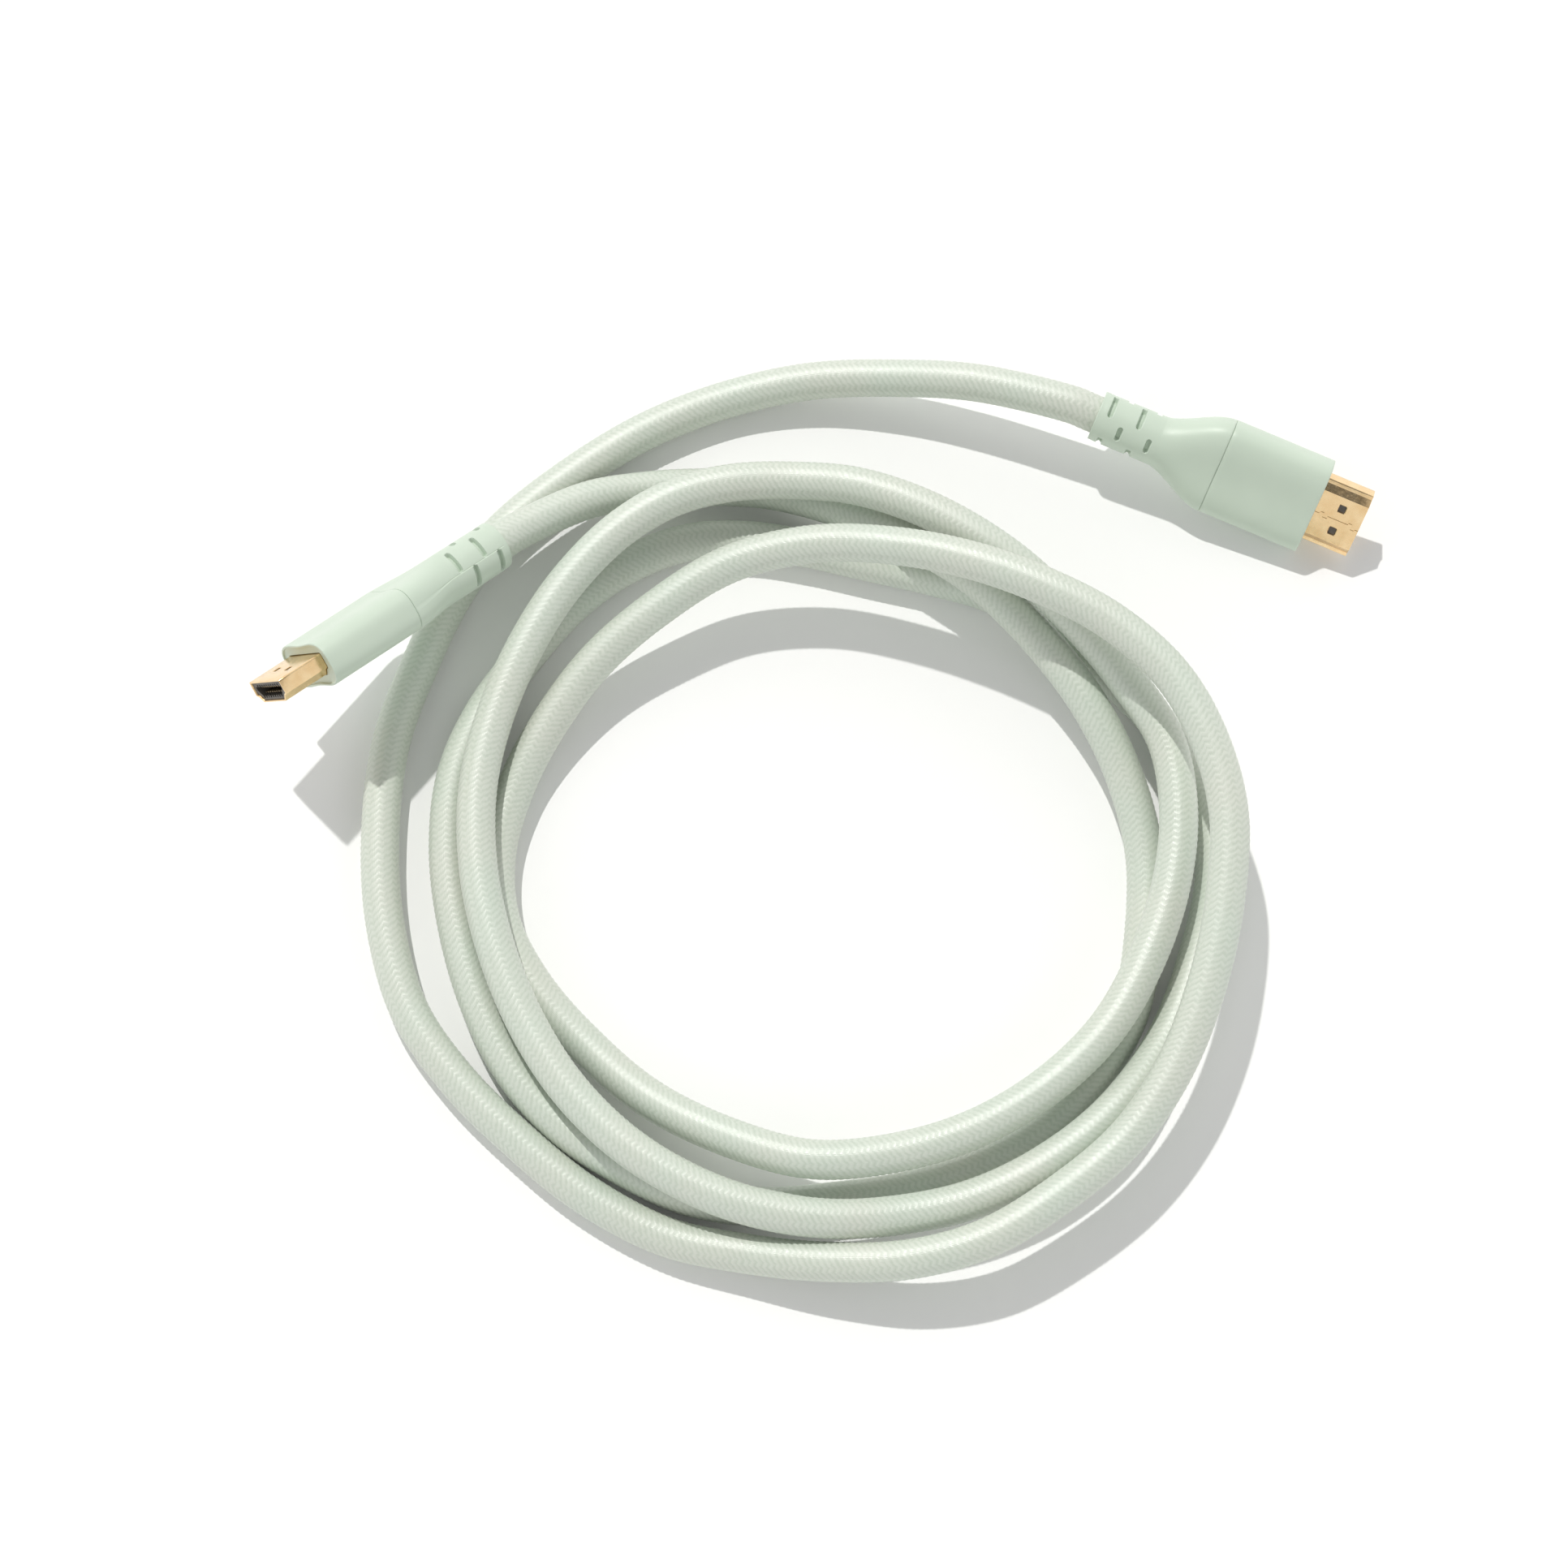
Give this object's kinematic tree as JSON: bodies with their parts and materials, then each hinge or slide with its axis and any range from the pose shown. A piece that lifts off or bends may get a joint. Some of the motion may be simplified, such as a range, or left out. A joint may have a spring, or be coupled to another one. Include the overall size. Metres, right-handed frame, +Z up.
{
  "type": "hdmi cable",
  "caption": "Braided mint-green video lead lying in loose turns, with a moulded plug and gold-plated shell at each end.",
  "frame": {"origin": "bottom centre of the box around the two plugs, on the floor that the lead lies on", "axes": "+X along the longer side of the box around the plugs, +Z up from the floor"},
  "size_m": [0.2152, 0.1825, 0.0345],
  "materials": {
    "sleeve": "satin",
    "moulding": "matte",
    "gold": "polished",
    "insulator": "satin"
  },
  "bodies": {
    "root": {"cable": "sleeve", "plug_a_body": "moulding", "plug_a_hood": "moulding", "plug_a_shell": "gold", "plug_a_insulator": "insulator", "plug_a_contact_wide_1": "gold", "plug_a_contact_wide_2": "gold", "plug_a_contact_wide_3": "gold", "plug_a_contact_wide_4": "gold", "plug_a_contact_wide_5": "gold", "plug_a_contact_wide_6": "gold", "plug_a_contact_wide_7": "gold", "plug_a_contact_wide_8": "gold", "plug_a_contact_wide_9": "gold", "plug_a_contact_wide_10": "gold", "plug_a_contact_narrow_1": "gold", "plug_a_contact_narrow_2": "gold", "plug_a_contact_narrow_3": "gold", "plug_a_contact_narrow_4": "gold", "plug_a_contact_narrow_5": "gold", "plug_a_contact_narrow_6": "gold", "plug_a_contact_narrow_7": "gold", "plug_a_contact_narrow_8": "gold", "plug_a_contact_narrow_9": "gold", "plug_b_body": "moulding", "plug_b_hood": "moulding", "plug_b_shell": "gold", "plug_b_insulator": "insulator", "plug_b_contact_wide_1": "gold", "plug_b_contact_wide_2": "gold", "plug_b_contact_wide_3": "gold", "plug_b_contact_wide_4": "gold", "plug_b_contact_wide_5": "gold", "plug_b_contact_wide_6": "gold", "plug_b_contact_wide_7": "gold", "plug_b_contact_wide_8": "gold", "plug_b_contact_wide_9": "gold", "plug_b_contact_wide_10": "gold", "plug_b_contact_narrow_1": "gold", "plug_b_contact_narrow_2": "gold", "plug_b_contact_narrow_3": "gold", "plug_b_contact_narrow_4": "gold", "plug_b_contact_narrow_5": "gold", "plug_b_contact_narrow_6": "gold", "plug_b_contact_narrow_7": "gold", "plug_b_contact_narrow_8": "gold", "plug_b_contact_narrow_9": "gold"}
  },
  "joints": []
}
